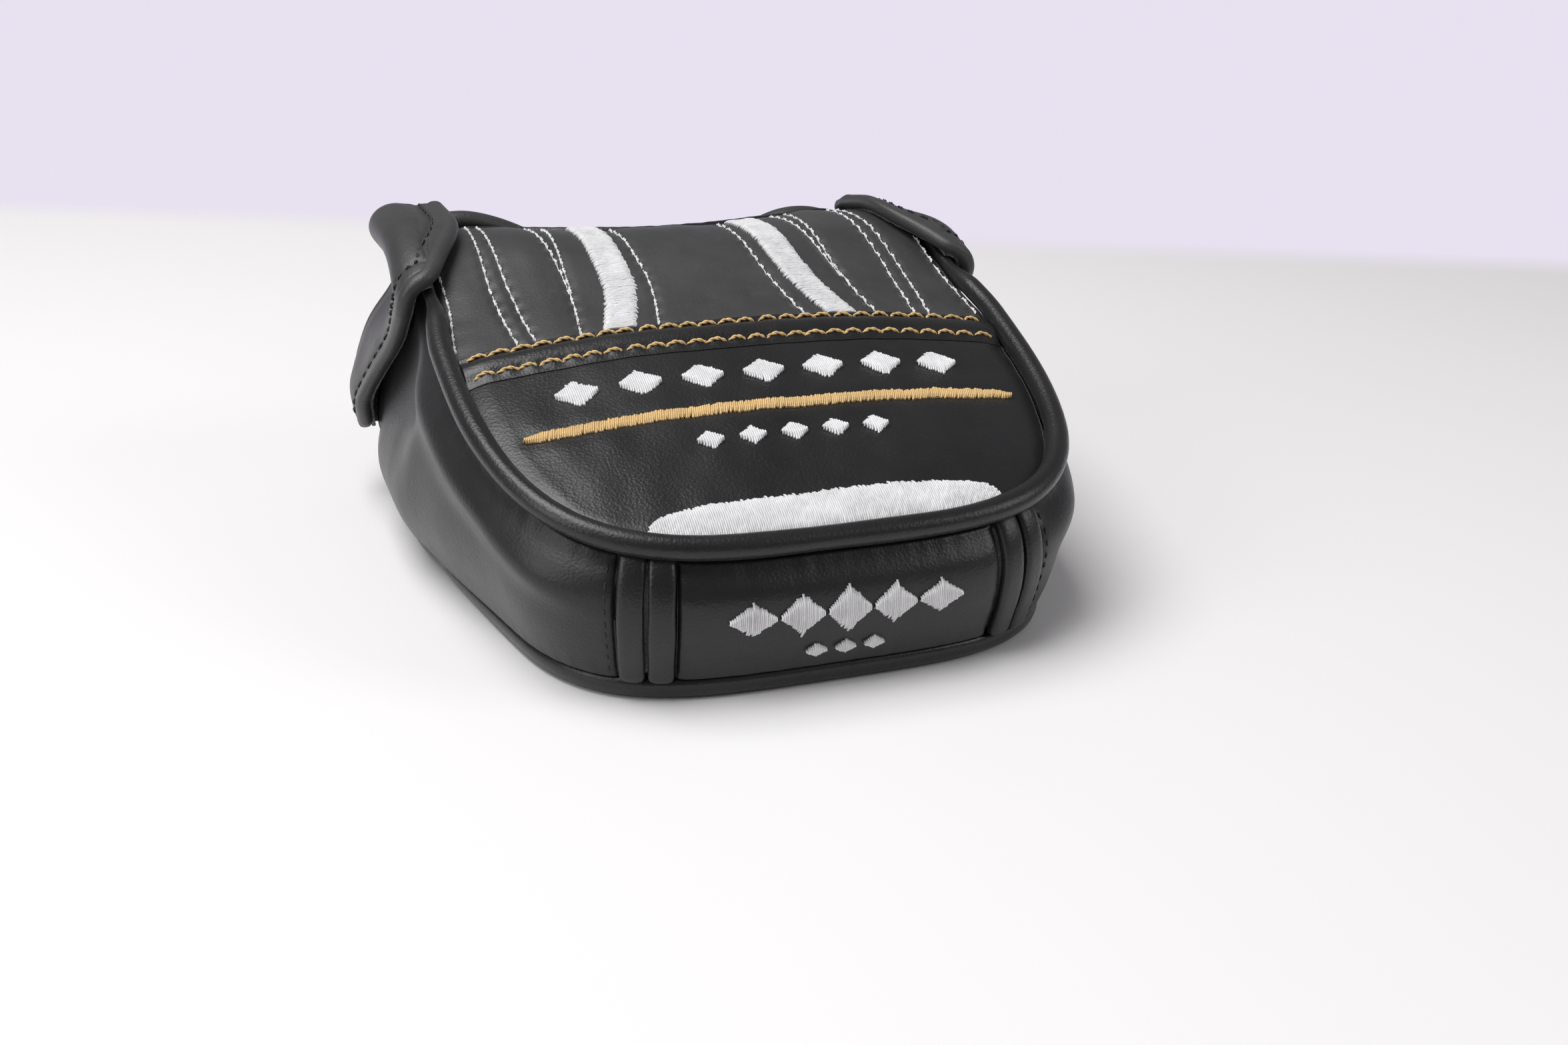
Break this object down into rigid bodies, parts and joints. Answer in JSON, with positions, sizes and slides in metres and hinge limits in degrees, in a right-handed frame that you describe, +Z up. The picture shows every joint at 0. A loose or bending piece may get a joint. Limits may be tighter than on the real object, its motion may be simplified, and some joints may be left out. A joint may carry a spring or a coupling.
{
  "type": "mallet putter head cover",
  "caption": "Padded D-shaped golf putter head cover with a welted sloping top, fold-down face flap and two magnetic side wings.",
  "frame": {"origin": "centre of the overall box at its base, on the sole", "axes": "+Z up from the sole, +Y towards the mouth and face flap, +X to the right seen from the rounded rear"},
  "size_m": [0.1248, 0.1284, 0.063],
  "materials": {
    "leather_black": "semi-gloss fine-grain synthetic leather",
    "leather_grey": "satin fine-grain synthetic leather",
    "leather_soft": "soft matt synthetic leather",
    "foam": "open-cell foam",
    "plush": "short-pile plush",
    "thread_white": "satin embroidery thread",
    "thread_gold": "satin embroidery thread",
    "steel": "nickel-plated magnet",
    "board": "fibre board",
    "cord": "extruded filler cord"
  },
  "bodies": {
    "shell": {"top_rear_panel": "leather_black", "band_strip": "leather_black", "top_welt": "leather_black", "rear_panel": "leather_black", "strip_left_outer": "leather_black", "strip_left_inner": "leather_black", "strip_right_inner": "leather_black", "strip_right_outer": "leather_black", "sole_panel": "leather_black", "mouth_binding": "leather_black", "hinge_strip": "leather_black", "top_front_panel": "leather_grey", "gusset_left": "leather_soft", "gusset_right": "leather_soft", "top_foam": "foam", "gusset_foam_left": "foam", "gusset_foam_right": "foam", "rear_foam": "foam", "top_lining": "plush", "gusset_lining_left": "plush", "gusset_lining_right": "plush", "rear_lining": "plush", "sole_lining": "plush", "top_stitching": "thread_white", "stripe_left": "thread_white", "stripe_right": "thread_white", "rear_crescent": "thread_white", "top_motif": "thread_white", "rear_motif": "thread_white", "band_stitching": "thread_gold", "gold_bar": "thread_gold", "gusset_magnet_left": "steel", "gusset_magnet_right": "steel", "sole_board": "board", "top_welt_cord": "cord"},
    "face_flap": {"flap_cover": "leather_soft", "flap_board": "board", "flap_lining": "plush", "flap_hem": "leather_soft"},
    "left_wing": {"wing_left_cover": "leather_soft", "wing_left_interlining": "foam", "wing_left_lining": "plush", "wing_left_hem": "leather_soft", "wing_left_magnet": "steel"},
    "right_wing": {"wing_right_cover": "leather_soft", "wing_right_interlining": "foam", "wing_right_lining": "plush", "wing_right_hem": "leather_soft", "wing_right_magnet": "steel"}
  },
  "joints": [
    {"name": "flap_fold", "type": "hinge", "parent": "shell", "child": "face_flap", "pos_m": [0, 0.05959, 0.005], "axis": [-1, 0, 0], "range_deg": [0, 90]},
    {"name": "left_wing_fold", "type": "hinge", "parent": "face_flap", "child": "left_wing", "pos_m": [-0.0619, 0.05819, 0.03], "axis": [0, 0, -1], "range_deg": [0, 80]},
    {"name": "right_wing_fold", "type": "hinge", "parent": "face_flap", "child": "right_wing", "pos_m": [0.0619, 0.05819, 0.03], "axis": [0, 0, 1], "range_deg": [0, 80]}
  ]
}
